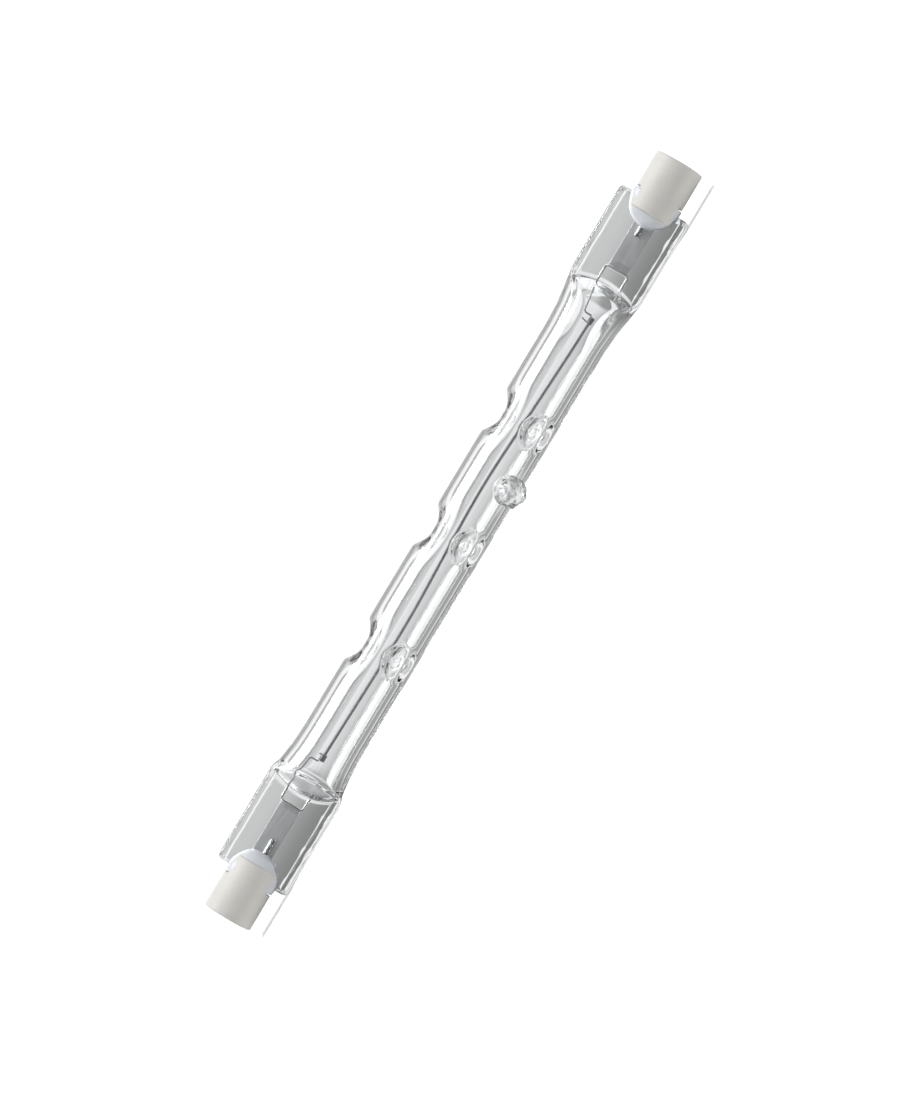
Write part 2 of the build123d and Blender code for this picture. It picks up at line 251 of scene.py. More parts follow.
def rest_roll():
    """The roll in radians at which the plates' edges and the exhaust stub touch the ground.

    The stub's rounded shoulder stands out from the axis at the tip's angle, and a plate's
    rounded edge is given across and through the plate. Both reach equally low.
    """
    lean = math.radians(TIP_ANGLE)
    round_stub, out = STUB_SHOULDER
    round_edge, edge_across, edge_through = RESTING_EDGE
    across = edge_across - (round_stub * math.cos(lean) + out * math.sin(lean))
    through = edge_through - (round_stub * math.sin(lean) - out * math.cos(lean))
    return math.acos(-round_edge / math.hypot(across, through)) + math.atan2(across, through)


ROLL = rest_roll()


def world(points):
    """Points in X, V, N millimetres, turned about X by the roll, in metres."""
    p = np.asarray(points, float).reshape(-1, 3)
    c = math.cos(ROLL)
    s = math.sin(ROLL)
    return np.stack([p[:, 0], p[:, 1] * c - p[:, 2] * s, p[:, 1] * s + p[:, 2] * c], 1) * MM


def smooth(t):
    """The smooth step 3t^2 - 2t^3 of t held to 0..1."""
    t = np.clip(t, 0.0, 1.0)
    return t * t * (3.0 - 2.0 * t)


def grid_quads(rows, cols):
    """The quads of a grid of rows by cols points, closed round its columns."""
    r = np.arange(rows - 1)[:, None]
    c = np.arange(cols)[None, :]
    a = r * cols + c
    b = r * cols + (c + 1) % cols
    return np.stack([a, b, b + cols, a + cols], -1).reshape(-1, 4)


def end_fans(rows, cols, first, last):
    """Triangles from the grid's first and last row to the pole points first and last."""
    c = np.arange(cols)
    n = (c + 1) % cols
    low = np.stack([np.full(cols, first), n, c], -1)
    top = (rows - 1) * cols
    high = np.stack([np.full(cols, last), top + c, top + n], -1)
    return np.concatenate([low, high])


def solid_mesh(name, points, faces):
    """A closed mesh of points in X, V, N, with its faces turned outwards."""
    made = bpy.data.meshes.new(name)
    made.from_pydata(world(points).tolist(), [], faces)
    made.validate()
    made.update()
    work = bmesh.new()
    work.from_mesh(made)
    bmesh.ops.recalc_face_normals(work, faces=work.faces[:])
    work.to_mesh(made)
    work.free()
    return made


def closed_mesh(name, *grids):
    """A mesh of grids (rows, cols, 3), wrapped round their columns, with a pole at each end."""
    points, faces, count = [], [], 0
    for grid in grids:
        rows, cols = grid.shape[:2]
        pole = rows * cols
        points += [grid.reshape(-1, 3), [grid[0].mean(0), grid[-1].mean(0)]]
        faces += (grid_quads(rows, cols) + count).tolist()
        faces += (end_fans(rows, cols, pole, pole + 1) + count).tolist()
        count += pole + 2
    return solid_mesh(name, np.concatenate(points), faces)


def place(name, mesh, material, replaced, sharp_angle=None):
    """Puts a mesh in the scene as a piece of the lamp."""
    mesh.name = name
    piece = bpy.data.objects.new(name, mesh)
    bpy.context.scene.collection.objects.link(piece)
    mesh.materials.clear()
    mesh.materials.append(material)
    mesh.shade_smooth()
    if sharp_angle is not None:
        mesh.set_sharp_from_angle(angle=math.radians(sharp_angle))
    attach(piece, "root")
    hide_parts(*replaced)
    return piece


def place_pair(name, replaced, material, slot, *grids):
    """Places the left and the right one of a piece, whose grids the given functions make."""
    for side, end in SIDES.items():
        mesh = closed_mesh(name, *(grid(side) for grid in grids))
        place(f"{name}_{end}", mesh, material, [f"{replaced}_{end}"])


# Surface functions of the quartz


def soft_min(a, b, width):
    """The smaller of a and b, with a rounded change-over of the given width.

    With h = 1/2 + (b - a) / (2 width) held to 0..1, it is b + (a - b) h - width h (1 - h).
    """
    h = np.clip(0.5 + 0.5 * (b - a) / width, 0.0, 1.0)
    return b + (a - b) * h - width * h * (1.0 - h)


def soft_max(a, b, width):
    """The larger of a and b, with a rounded change-over of the given width."""
    return -soft_min(-a, -b, width)


def ripple(t, seed, longest, count=5):
    """An irregular wave of t, between about -1 and 1.

    It sums sines of random phase, from the longest wave to ever shorter and lower ones.
    """
    chance = np.random.default_rng(seed)
    made = np.zeros(np.shape(t))
    for k in range(count):
        length = longest / 1.7 ** k * chance.uniform(0.8, 1.25)
        made = made + np.sin(2.0 * math.pi * (t / length + chance.uniform())) / 1.35 ** k
    return made / 2.2


def blunt(t, flat, reach, soft):
    """1 up to flat, falling in a straight line to 0 at reach, with both corners rounded."""
    fall = (reach - np.abs(t)) / (reach - flat)
    return soft_min(soft_max(fall, 0.0 * fall, soft), 1.0 + 0.0 * fall, soft)


def dimpled_radius(x, angle, radius, pushed, cut):
    """A tube's radius at x and angle, with the three dimples of each station.

    The upper one is pushed in: a depth times one blunt trapezoid of the distance along the
    tube and another of the angle round it. The lower ones are blunt cones with the height
    m + k sqrt(d^2 + e^2) at d along the tube and e round it. Along a line from the axis at
    an angle f to its direction a cone is met at
    r = (c m + sqrt(c^2 m^2 - (c^2 - t^2)(m^2 - k^2 d^2))) / (c^2 - t^2),
    with c = cos f and t = k sin f, and its flat foot of height h at h / c.
    """
    depth, flat, reach, soft, flat_angle, reach_angle, soft_angle = pushed
    foot_height, foot_radius, slope, soft_cut = cut
    m = foot_height - slope * foot_radius
    made = np.full(np.broadcast(x, angle).shape, float(radius))
    for station in DIMPLE_STATIONS:
        d = x - station
        for turn in DIMPLE_ANGLES:
            # DIMPLE_ANGLES run from N towards -V, and angle runs from +V towards N
            f = np.angle(np.exp(1j * (angle - math.radians(90.0 + turn))))
            if turn < 0.0:
                round_ = blunt(np.degrees(f), flat_angle, reach_angle, soft_angle)
                made = made - depth * blunt(d, flat, reach, soft) * round_
                continue
            c = np.cos(f)
            a = c * c - (slope * np.sin(f)) ** 2
            inside = (c * m) ** 2 - a * (m * m - (slope * d) ** 2)
            near = (np.abs(f) < 1.05) & (np.abs(d) < 6.0) & (a > 0.05)
            cone = (c * m + np.sqrt(np.maximum(inside, 0.0))) / np.where(near, a, 1.0)
            both = soft_max(cone, foot_height / np.where(near, c, 1.0), soft_cut)
            made = np.where(near, soft_min(made, both, soft_cut), made)
    # The pressed glass is uneven where the tool touched it
    touched = smooth((radius - made - 0.25) / 0.5)
    length = radius * angle
    uneven = ripple(x + 0.6 * length, 21, 1.4, 4) * ripple(length - 0.5 * x, 22, 1.2, 4)
    return made + DIMPLE_UNEVENNESS * touched * uneven


def tube_half_width(x):
    """The envelope's half width: the tube's, flaring to the plates' at the shoulders."""
    left = np.interp(-x, *zip(*SHOULDER_WIDTHS[-1]))
    right = np.interp(x, *zip(*SHOULDER_WIDTHS[1]))
    return np.where(x < 0, left, right)


def smoothed(values, times):
    """values averaged with their neighbours along the first axis, over and over."""
    for _ in range(times):
        inner = (values[:-2] + 2 * values[1:-1] + values[2:]) / 4
        values = np.concatenate([values[:1], inner, values[-1:]])
    return values


def bowed(v, side, bow):
    """How far a jaw's line falls back towards the tube at v: (bow - skew v) v^2."""
    return (bow - BOW_SKEW[side] * v) * v * v


def face_height(d, side, rise, fillet):
    """The height over the floor of a pressed face, at the distance d from the jaw's line.

    d is first rounded to (d + sqrt(d^2 + f^2)) / 2. On the left the height is k d. On the
    right it is h (1 - exp(-d / l)), and grows by 0.04 (d - 6)^2 from d = 6.
    """
    d = 0.5 * (d + np.sqrt(d * d + fillet * fillet))
    if side < 0:
        return LEFT_SLOPE * d
    return rise[0] * (1.0 - np.exp(-d / rise[1])) + 0.04 * np.maximum(d - 6.0, 0.0) ** 2


def squeezed(x, v, height, floor, lines, rise, fillet):
    """Where a jaw pinches the tube, the height falls along a pressed face to the floor.

    With w the face's height over the floor as a share of the tube's, the result is
    floor + (height - floor) w / (1 + w^p)^(1/p), which rounds the edge between the two.
    """
    made = height
    over = height - floor
    for side, (place_, bow) in lines.items():
        d = place_ - bowed(v, side, bow) - side * x
        w = face_height(d, side, rise, fillet) / np.maximum(np.abs(over), 0.06)
        share = w / (1.0 + np.minimum(w, 1e3) ** FACE_SHARPNESS) ** (1.0 / FACE_SHARPNESS)
        made = np.where(x * side > 20.0, floor + over * np.minimum(share, 1.0), made)
    return made


def plate_section(count):
    """The pinched plate's outline as count points (V, N), by equal steps of length.

    Round the outline the half depth is the plate's, raised to a bead by a cosine bump near
    each edge, and the corners are quarter circles.
    """
    top = PLATE_HALF_DEPTH + BEAD_RISE
    w = PLATE_HALF_WIDTH
    turn = np.linspace(0.0, math.pi / 2, 12)
    edge_v = w - EDGE_ROUND + EDGE_ROUND * np.cos(turn)
    edge_n = top - EDGE_ROUND + EDGE_ROUND * np.sin(turn)
    flat_v = np.linspace(w - EDGE_ROUND, 0.0, 60)[1:]
    inside = np.clip((w - flat_v - EDGE_ROUND) / (BEAD_WIDTH - EDGE_ROUND), 0.0, 1.0)
    flat_n = PLATE_HALF_DEPTH + BEAD_RISE * 0.5 * (1.0 + np.cos(math.pi * inside))
    v = np.concatenate([[w], edge_v, flat_v])
    n = np.concatenate([[0.0], edge_n, flat_n])
    v = np.concatenate([v, -v[::-1][1:]])
    n = np.concatenate([n, n[::-1][1:]])
    length = np.concatenate([[0.0], np.cumsum(np.hypot(np.diff(v), np.diff(n)))])
    steps = np.linspace(0.0, length[-1], count // 2 + 1)
    v = np.interp(steps, length, v)
    n = np.interp(steps, length, n)
    return np.concatenate([v, v[::-1][1:-1]]), np.concatenate([n, -n[::-1][1:-1]])


def stations(low, high):
    """Places along the lamp, with fine steps near dimples, shoulders, stub and plate ends."""
    x = [low]
    while x[-1] < high:
        here = x[-1]
        near = min(abs(here - s) for s in DIMPLE_STATIONS) < DIMPLE_STRETCH
        near = near or SHOULDER_STRETCH[0] < abs(here) < SHOULDER_STRETCH[1]
        near = near or abs(here) > PLATE_END - END_STRETCH
        near = near or abs(here - TIP_POSITION) < TIP_STRETCH
        x.append(here + (FINE_STEP if near else COARSE_STEP))
    x[-1] = high
    return np.array(x)


def ring_angles(count):
    """Equal steps once round a ring, in radians."""
    return np.arange(count) * 2.0 * math.pi / count


def outer_grid(cols):
    """The quartz's outer surface, from one plate's end to the other.

    Round the tube a point is at the tube's radius, cut by the dimples' blunt cones. Through
    each shoulder the width grows to the plate's, the outline turns from a circle to the
    plate's section, and the jaws' sloped faces bring the depth down to it. The plates'
    beads are uneven along their length, and their ends are broken off roughly.
    """
    x = stations(-PLATE_END, PLATE_END)
    angle = ring_angles(cols)
    section_v, section_n = plate_section(cols)
    out = np.abs(x)
    width = smoothed(tube_half_width(x), 4)
    start = np.where(x < 0, SECTION_START[-1], SECTION_START[1])
    turned = smooth((out - start) / SECTION_TURN)[:, None]
    X = np.repeat(x[:, None], cols, 1)
    A = np.repeat(angle[None, :], len(x), 0)
    radius = dimpled_radius(X, A, TUBE_RADIUS, PUSHED_OUTSIDE, CUT_OUTSIDE)
    tube_v = radius * np.cos(A) * (width / TUBE_RADIUS)[:, None]
    tube_n = radius * np.sin(A)
    flat_v = section_v[None, :] * (width / PLATE_HALF_WIDTH)[:, None]
    V = tube_v + (flat_v - tube_v) * turned
    plate = smooth((out - 38.0) / 2.0)[:, None]
    edge = smooth((np.abs(section_v)[None, :] - 3.7) / 0.7) * plate
    upper, lower = ripple(x, 3, 6.5)[:, None], ripple(x, 8, 5.0)[:, None]
    waves = np.where(section_v[None, :] > 0, upper, lower)
    front, back = ripple(x, 5, 1.7, 4)[:, None], ripple(x, 6, 2.1, 4)[:, None]
    fine = np.where(section_n[None, :] > 0, front, back)
    floor = section_n[None, :] * (1.0 + edge * (0.012 * waves + 0.006 * fine))
    inner_edge = np.exp(-((np.abs(section_v)[None, :] - 4.35) / 0.3) ** 2) * plate
    V = V * (1.0 + inner_edge * (0.02 * waves + 0.012 * fine) + edge * 0.003 * waves)
    front = squeezed(X, V, tube_n, floor, PRESS_LINES["front"], RIGHT_OUTSIDE, PRESS_FILLET)
    back = squeezed(X, V, tube_n, floor, PRESS_LINES["back"], RIGHT_OUTSIDE, PRESS_FILLET)
    N = np.where(np.sin(A) >= 0, front, back)
    # The plate's corners are rounded, and its end is broken off
    end = np.clip((out - (PLATE_END - 0.8)) / 0.8, 0.0, 1.0)
    pull = 0.8 * (1.0 - np.sqrt(np.maximum(1.0 - end ** 2, 0.0)))
    V = V - np.sign(V) * pull[:, None] * smooth((np.abs(V) - 3.6) / 1.6)
    last = smooth((out - (PLATE_END - 0.3)) / 0.3)[:, None]
    N = N * (1.0 - 0.2 * last)
    rough = smooth((out - (PLATE_END - 1.1)) / 1.1)[:, None]
    chips = ripple(V + 0.37 * N, 11, 1.9, 7) + ripple(N - 0.4 * V, 12, 0.9, 4)
    X = X - np.sign(X) * rough * (0.12 + 0.09 * chips)
    N = N * (1.0 + 0.05 * rough * ripple(V + X, 14, 1.1, 5))
    return np.stack([X, V, N], -1)


def inner_grid(cols):
    """The gas space: the bore, cut by the dimples' bumps and squeezed shut at each end.

    The bumps are blunt cones that follow the dimples. Through a shoulder the width grows, and
    the depth falls along a face parallel to the outer one to a thin, bowed end.
    """
    x = stations(-GAS_END[-1], GAS_END[1])
    angle = ring_angles(cols)
    X = np.repeat(x[:, None], cols, 1)
    A = np.repeat(angle[None, :], len(x), 0)
    radius = dimpled_radius(X, A, BORE_RADIUS, PUSHED_INSIDE, CUT_INSIDE)
    inner_width = np.minimum(tube_half_width(x) - (TUBE_RADIUS - BORE_RADIUS), 4.0)
    width = smoothed(inner_width, 4) / BORE_RADIUS
    V = radius * np.cos(A) * width[:, None]
    N = radius * np.sin(A)
    side = np.where(x < 0, -1, 1)[:, None]
    gas = np.where(x < 0, GAS_END[-1], GAS_END[1])[:, None]
    # The ends are bowed as the jaws are
    bow = np.where(side < 0, bowed(V, -1, GAS_BOW), bowed(V, 1, GAS_BOW))
    X = X - side * bow * smooth((np.abs(X) - (gas - 3.0)) / 3.0)
    ends = {way: (GAS_END[way], GAS_BOW) for way in SIDES}
    N = squeezed(X, V, N, 0.0 * N, ends, RIGHT_INSIDE, GAS_FILLET)
    return np.stack([X, V, N], -1)


def wire_grid(points, tangents, radial, radius, sides):
    """A round wire's grid: each point of the path plus the radius times a turning unit vector.

    The unit vector turns in the plane of radial and of tangent x radial.
    """
    t = tangents / np.linalg.norm(tangents, axis=1)[:, None]
    e = radial - (radial * t).sum(1)[:, None] * t
    e = e / np.linalg.norm(e, axis=1)[:, None]
    b = np.cross(t, e)
    turn = ring_angles(sides)[None, :, None]
    ring = np.cos(turn) * e[:, None, :] + np.sin(turn) * b[:, None, :]
    return points[:, None, :] + np.asarray(radius).reshape(-1, 1, 1) * ring


def flat_wire_grid(points, radius, sides):
    """A wire whose path stays in a plane square to N, with N as its radial direction."""
    tangents = np.gradient(points, axis=0)
    radial = np.tile([0.0, 0.0, 1.0], (len(points), 1))
    return wire_grid(points, tangents, radial, radius, sides)


def rounded(corners, radius, steps, most):
    """Points through corners, with each inner one rounded by a quadratic curve.

    Each corner C with neighbours A and B becomes the curve from C + r(A - C) by way of C to
    C + r(B - C), where r gives the wanted distance, up to the given share.
    """
    corners = np.asarray(corners, float)
    made = [corners[:1]]
    s = np.linspace(0.0, 1.0, steps)[:, None]
    for before, corner, after in zip(corners[:-2], corners[1:-1], corners[2:]):
        p = corner + (before - corner) * min(radius / np.linalg.norm(before - corner), most)
        q = corner + (after - corner) * min(radius / np.linalg.norm(after - corner), most)
        made.append((1 - s) ** 2 * p + 2 * s * (1 - s) * corner + s ** 2 * q)
    made.append(corners[-1:])
    return np.concatenate(made)


def rounded_route(corners, radius, step):
    """A path through rounded corners, in equal steps."""
    path = rounded(corners, radius, 9, 0.49)
    length = np.concatenate([[0.0], np.cumsum(np.linalg.norm(np.diff(path, axis=0), axis=1))])
    want = np.linspace(0.0, length[-1], max(int(length[-1] / step), 8))
    return np.stack([np.interp(want, length, path[:, k]) for k in range(3)], 1)


def sway(x):
    """The coil's shift across the tube at x: a cubic curve through its bends, smooth at each."""
    knots = [(-FILAMENT_END[-1], FILAMENT_ACROSS[-1]), *FILAMENT_BENDS]
    knots.append((FILAMENT_END[1], FILAMENT_ACROSS[1]))
    kx = np.array([k[0] for k in knots])
    kv = np.array([k[1] for k in knots])
    slope = np.gradient(kv, kx)
    i = np.clip(np.searchsorted(kx, x) - 1, 0, len(kx) - 2)
    h = kx[i + 1] - kx[i]
    t = (x - kx[i]) / h
    a = (1 + 2 * t) * (1 - t) ** 2 * kv[i] + t * (1 - t) ** 2 * h * slope[i]
    return a + t * t * (3 - 2 * t) * kv[i + 1] + t * t * (t - 1) * h * slope[i + 1]


def coil_grid(x_start, x_end, coil_radius, wire_radius, pitch, per_turn, sides):
    """A wound wire: a helix about the swaying line, swept by a circle.

    Its centre is line(x) + R(cos f across + sin f through), with f = 2 pi x / pitch.
    """
    turns = abs(x_end - x_start) / pitch
    count = int(turns * per_turn) + 1
    x = np.linspace(x_start, x_end, count)
    v = sway(x)
    lean = np.gradient(v, x)
    along = np.stack([np.ones(count), lean, np.zeros(count)], 1)
    along /= np.linalg.norm(along, axis=1)[:, None]
    across = np.stack([-along[:, 1], along[:, 0], np.zeros(count)], 1)
    through = np.tile([0.0, 0.0, 1.0], (count, 1))
    f = 2.0 * math.pi * (x - x_start) / pitch
    radial = np.cos(f)[:, None] * across + np.sin(f)[:, None] * through
    round_ = -np.sin(f)[:, None] * across + np.cos(f)[:, None] * through
    centre = np.stack([x, v, np.full(count, WIRE_HEIGHT)], 1) + coil_radius * radial
    tangent = along * (pitch / (2.0 * math.pi)) + coil_radius * round_
    return wire_grid(centre, tangent, radial, wire_radius, sides)


def lathe(profile, cols, side):
    """A solid of revolution about the lamp's axis from (x, radius) points, closed at both ends."""
    turn = ring_angles(cols)[None, :]
    X = np.repeat(profile[:, :1] * side, cols, 1)
    return np.stack([X, profile[:, 1:] * np.cos(turn), profile[:, 1:] * np.sin(turn)], -1)


def stub_grid(rows, cols, foot, length, profile, fades, waves, lift=0.0):
    """A closed grid round the exhaust stub's axis, from a foot height over a length.

    At a share t of the length the radius follows the profile, times one plus waves that run
    round and along it, so that the glass looks drawn out and pinched shut. They fade in from
    and out to the given shares. Out of the tube is cos(lean) N - sin(lean) V, and beside it
    is cos(lean) V + sin(lean) N.
    """
    T, A = np.meshgrid(np.linspace(0.0, 1.0, rows), ring_angles(cols), indexing="ij")
    (first, rise), (last, fall) = fades
    fade = smooth((T - first) / rise) * smooth((last - T) / fall)
    wave = sum(high * np.sin(count * A + turn * T + start) for high, count, turn, start in waves)
    radius = np.interp(T, *zip(*profile)) * (1.0 + fade * wave)
    height = foot + T * length + lift * fade * np.sin(3 * A + 6 * T)
    lean = math.radians(TIP_ANGLE)
    side = radius * np.sin(A)
    X = TIP_POSITION + radius * np.cos(A)
    V = -math.sin(lean) * height + math.cos(lean) * side
    N = math.cos(lean) * height + math.sin(lean) * side
    return np.stack([X, V, N], -1)


def exhaust_stub():
    """The melted-off exhaust stub."""
    fades = ((0.12, 0.3), (1.02, 0.2))
    return stub_grid(30, 44, TUBE_RADIUS - 0.75, 3.6, STUB_PROFILE, fades, STUB_WAVES, 0.12)


def stub_bubble():
    """The cavity in the stub, thinner and drawn to a point."""
    fades = ((0.05, 0.2), (1.0, 0.15))
    return stub_grid(22, 36, TUBE_RADIUS - 0.4, 2.45, BUBBLE_PROFILE, fades, BUBBLE_WAVES)


def parted_void(side):
    """The flat void over the foil's end, as rings round its length.

    At a share t of its length its half width is w (1 - |2t - 1|^8)^(1/2) and its half depth
    d (1 - |2t - 1|^6)^(1/2), and round each ring cos and sin are raised to the power 1/3.
    """
    low, high, bow = PARTED[side]
    t = np.linspace(0.01, 0.99, 26)[:, None]
    turn = ring_angles(40)[None, :]
    u = np.abs(2.0 * t - 1.0)
    c = np.sign(np.cos(turn)) * np.abs(np.cos(turn)) ** (1.0 / 3.0)
    s = np.sign(np.sin(turn)) * np.abs(np.sin(turn)) ** (1.0 / 3.0)
    v = PARTED_HALF_WIDTH * np.sqrt(1.0 - u ** 8) * c
    X = low + (high - low) * t - bow * v * v * t
    N = PARTED_HEIGHT + PARTED_HALF_DEPTH * np.sqrt(1.0 - u ** 6) * s
    return np.stack([side * X, SEAL_ACROSS[side] + v, N], -1)


def hook_void(side, gap):
    """The channel that the quartz leaves round the inner lead's hook."""
    high = SEAL_ACROSS[side] + HOOK_HALF_WIDTH
    low = SEAL_ACROSS[side] - HOOK_HALF_WIDTH
    hook = HOOK_PLACE[side]
    start = GAS_END[side] + 0.25
    corners = [(start, high), (hook, high), (hook, low), (start, low)]
    route = rounded_route([(side * x, v, WIRE_HEIGHT) for x, v in corners], 0.45, 0.14)
    return flat_wire_grid(route, LEAD_RADIUS + 1.8 * gap, 12)


def foil_reach(side):
    """How far from the lamp's middle a foil starts and ends."""
    start = HOOK_PLACE[side] - FOIL_PAST_HOOK
    return start, start + FOIL_LENGTH


def pin_void(side, gap):
    """The channel that the quartz leaves round the outer lead's pin."""
    x = np.linspace(foil_reach(side)[1] - PIN_ON_FOIL - gap, PLATE_END - 0.35, 14)
    route = np.stack([side * x, 0.0 * x, 0.0 * x + PIN_HEIGHT], 1)
    return flat_wire_grid(route, PIN_RADIUS + gap, 24)


def pin_grid(side):
    """The outer lead's pin along the lamp, with its cut end slightly rounded."""
    start = foil_reach(side)[1] - PIN_ON_FOIL
    rounding = [start, start + 0.02, start + 0.08]
    x = np.concatenate([rounding, np.linspace(start + 0.3, PIN_END, 10)])
    radius = np.concatenate([[0.24, 0.31, PIN_RADIUS], np.full(10, PIN_RADIUS)])
    route = np.stack([side * x, 0.0 * x, 0.0 * x + PIN_HEIGHT], 1)
    tangents = np.tile([float(side), 0.0, 0.0], (len(x), 1))
    radial = np.tile([0.0, 0.0, 1.0], (len(x), 1))
    return wire_grid(route, tangents, radial, radius, 24)


def lead_grid(side):
    """The inner lead: a leg on the filament's end, a run out, and a hook over the foil."""
    across = FILAMENT_ACROSS[side]
    leg = FILAMENT_END[side] + LEAD_RADIUS
    hook = HOOK_PLACE[side]
    high = SEAL_ACROSS[side] + HOOK_HALF_WIDTH
    low = SEAL_ACROSS[side] - HOOK_HALF_WIDTH
    points = [
        (leg, across + LEG_FROM), (leg, across + LEG_TO), (hook - HOOK_LENGTH, high),
        (hook, high), (hook, low), (hook - HOOK_LENGTH, low),
    ]
    corners = [(side * x, v, WIRE_HEIGHT) for x, v in points]
    return flat_wire_grid(rounded_route(corners, 0.4, 0.09), LEAD_RADIUS, 12)


def winding_grid(side):
    """The dense winding over the filament's end."""
    end = side * FILAMENT_END[side]
    return coil_grid(
        end - side * 0.1, end - side * 1.0, WINDING_RADIUS, WINDING_WIRE, WINDING_PITCH, 22, 10
    )


def tail_grid(side):
    """The loose end of an end winding's wire, leaning outwards."""
    end = side * FILAMENT_END[side]
    foot = np.array([end - side * 0.98, float(sway(np.array([end]))[0]) + LEG_FROM, WIRE_HEIGHT])
    lean = math.radians(TAIL_LEAN)
    tip = foot + TAIL_LENGTH[side] * np.array([side * math.sin(lean), math.cos(lean), 0.0])
    route = rounded_route([foot, (foot + tip) / 2, tip], 0.1, 0.1)
    return flat_wire_grid(route, WINDING_WIRE, 10)


def foil_grid(side):
    """A foil, lens-shaped in section: full depth in the middle, feathered to thin edges.

    Round its section v is w cos f and n is d sin f, with faint waves over its length.
    """
    x = np.linspace(*foil_reach(side), 60)
    turn = ring_angles(32)
    v = SEAL_ACROSS[side] + 0.5 * FOIL_WIDTH * np.cos(turn)
    X = np.repeat(side * x[:, None], len(turn), 1)
    V = np.repeat(v[None, :], len(x), 0)
    waves = np.sin(1.9 * X + 0.6 * V) * np.sin(0.7 * V + 1.0)
    N = FOIL_HALF_DEPTH * np.sin(turn)[None, :] + 0.0036 * waves
    return np.stack([X, V, N], -1)


def cap_profile():
    """The cap's profile: its barrel, the recess in its end and the contact's seat in that."""
    floor = CAP_END - RECESS_DEPTH
    seat = floor - CONTACT_DEPTH
    corners = [
        (CAP_INNER, NEAR_AXIS), (CAP_INNER, CAP_RADIUS), (CAP_END, CAP_RADIUS),
        (CAP_END, RECESS_RADIUS), (floor, RECESS_RADIUS), (floor, SEAT_RADIUS),
        (seat, SEAT_RADIUS), (seat, NEAR_AXIS),
    ]
    return rounded(corners, CAP_ROUND, 7, 0.45)


def contact_grid(side):
    """The contact: a disc, dished in its middle."""
    face = CAP_END - RECESS_DEPTH
    back = face - CONTACT_DEPTH
    corners = [
        (back, NEAR_AXIS), (back, CONTACT_RADIUS), (face, CONTACT_RADIUS), (face, 1.15),
        (face - 0.06, 0.95), (face, NEAR_AXIS),
    ]
    return lathe(rounded(corners, 0.1, 5, 0.45), 64, side)


def cement_grid(side):
    """The cement as a flattened ball about the N axis, cut off behind the cap's slot.

    At an angle f from the plate's middle plane its radius across is R |cos f|^0.55 and its
    height H sgn(sin f) |sin f|^0.75, with a wavy rim.
    """
    f = np.linspace(-math.pi / 2 + 0.04, math.pi / 2 - 0.04, 48)
    F, A = np.meshgrid(f, ring_angles(72), indexing="ij")
    rim = 1.0 + 0.02 * np.sin(3 * A + 1.0 + side) + 0.012 * np.sin(7 * A + 2.0 * side)
    r = CEMENT_RADIUS * np.abs(np.cos(F)) ** 0.55 * rim
    h = CEMENT_HEIGHT * np.sign(F) * np.abs(np.sin(F)) ** 0.75
    X = PLATE_END - 0.05 + np.minimum(-r * np.cos(A), CEMENT_BEHIND)
    return np.stack([side * X, r * np.sin(A), h], -1)


def box_mesh(name, low, high):
    """A box between two corners in X, V, N."""
    corner = np.array([[(low, high)[k >> j & 1][j] for j in range(3)] for k in range(8)], float)
    faces = [(0, 2, 3, 1), (4, 5, 7, 6), (0, 1, 5, 4), (2, 6, 7, 3), (0, 4, 6, 2), (1, 3, 7, 5)]
    return solid_mesh(name, corner, faces)


def joined_solid(first, second, operation):
    """first with second joined to it or cut from it, as a mesh."""
    a = bpy.data.objects.new("first", first)
    b = bpy.data.objects.new("second", second)
    for o in (a, b):
        bpy.context.scene.collection.objects.link(o)
    step = a.modifiers.new("join", "BOOLEAN")
    step.operation = operation
    step.solver = "EXACT"
    step.object = b
    depsgraph = bpy.context.evaluated_depsgraph_get()
    made = bpy.data.meshes.new_from_object(a.evaluated_get(depsgraph))
    for o in (a, b):
        bpy.data.objects.remove(o)
    return made


def merged(name, meshes):
    """Several meshes as one."""
    work = bmesh.new()
    for m in meshes:
        work.from_mesh(m)
    made = bpy.data.meshes.new(name)
    work.to_mesh(made)
    work.free()
    return made


# Materials


def new_material(name):
    """An empty material and its node tree."""
    made = bpy.data.materials.new(name)
    made.use_nodes = True
    made.node_tree.nodes.clear()
    return made, made.node_tree


def node(tree, kind, inputs=None, **settings):
    """A node with its settings, and with a value or another node's output on its inputs."""
    made = tree.nodes.new(kind)
    for key, value in settings.items():
        setattr(made, key, value)
    for key, value in (inputs or {}).items():
        if isinstance(value, bpy.types.NodeSocket):
            tree.links.new(value, made.inputs[key])
        else:
            made.inputs[key].default_value = value
    return made


def maths(tree, operation, *values):
    """A Math node's result."""
    return node(tree, "ShaderNodeMath", dict(enumerate(values)), operation=operation).outputs[0]


def mapped(tree, value, low, high, to_low=0.0, to_high=1.0):
    """A value carried from one range to another, and held to it."""
    ends = {"From Min": low, "From Max": high, "To Min": to_low, "To Max": to_high}
    return node(tree, "ShaderNodeMapRange", {"Value": value, **ends}).outputs[0]


def coordinates(tree, kind):
    """A place as a vector, and its parts along X, Y and Z."""
    whole = node(tree, "ShaderNodeTexCoord").outputs[kind]
    return whole, node(tree, "ShaderNodeSeparateXYZ", {0: whole}).outputs


def noise(tree, scale, detail, stretch=EVEN):
    """Noise on the piece's own coordinates, scale in waves a millimetre."""
    whole = node(tree, "ShaderNodeTexCoord").outputs["Object"]
    spread = node(tree, "ShaderNodeMapping", {"Vector": whole, "Scale": stretch}).outputs[0]
    inputs = {"Vector": spread, "Scale": scale / MM, "Detail": detail}
    return node(tree, "ShaderNodeTexNoise", inputs).outputs["Fac"]


def grey(level):
    """A faintly cool grey."""
    return (level, level, level * 1.006)


